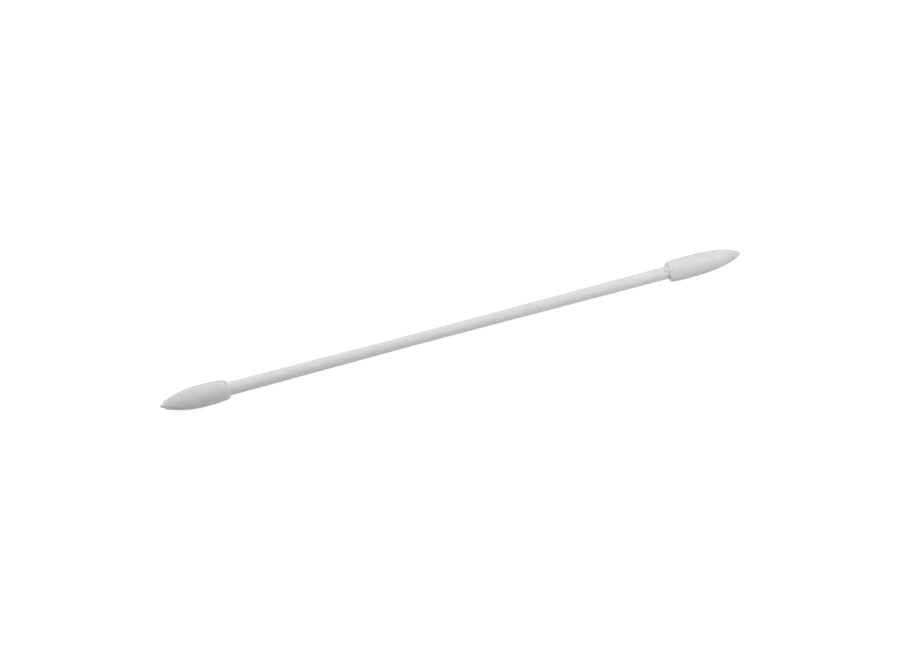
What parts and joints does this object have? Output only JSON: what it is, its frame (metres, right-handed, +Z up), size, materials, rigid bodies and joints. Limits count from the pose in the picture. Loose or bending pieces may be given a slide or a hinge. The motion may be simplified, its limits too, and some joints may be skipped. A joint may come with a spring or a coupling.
{
  "type": "blending stick",
  "caption": "Slim double-ended art blending stick: a slightly waisted rolled-paper shaft with a pointed, bullet-shaped wound cotton head on each end.",
  "frame": {"origin": "on the stick's axis, midway between the two points", "axes": "+X along the stick to the longer, slimmer head; +Z up as it lies on a table; the stick is round about X"},
  "size_m": [0.15, 0.0056, 0.0056],
  "materials": {
    "rolled_paper": "matte, smooth-calendered white paper",
    "dried_glue": "dried white adhesive film",
    "wound_cotton": "matte, wound and pressed white cotton"
  },
  "bodies": {
    "root": {"paper_shaft": "rolled_paper", "left_glue_film": "dried_glue", "right_glue_film": "dried_glue", "left_cotton_head": "wound_cotton", "right_cotton_head": "wound_cotton"}
  },
  "joints": []
}
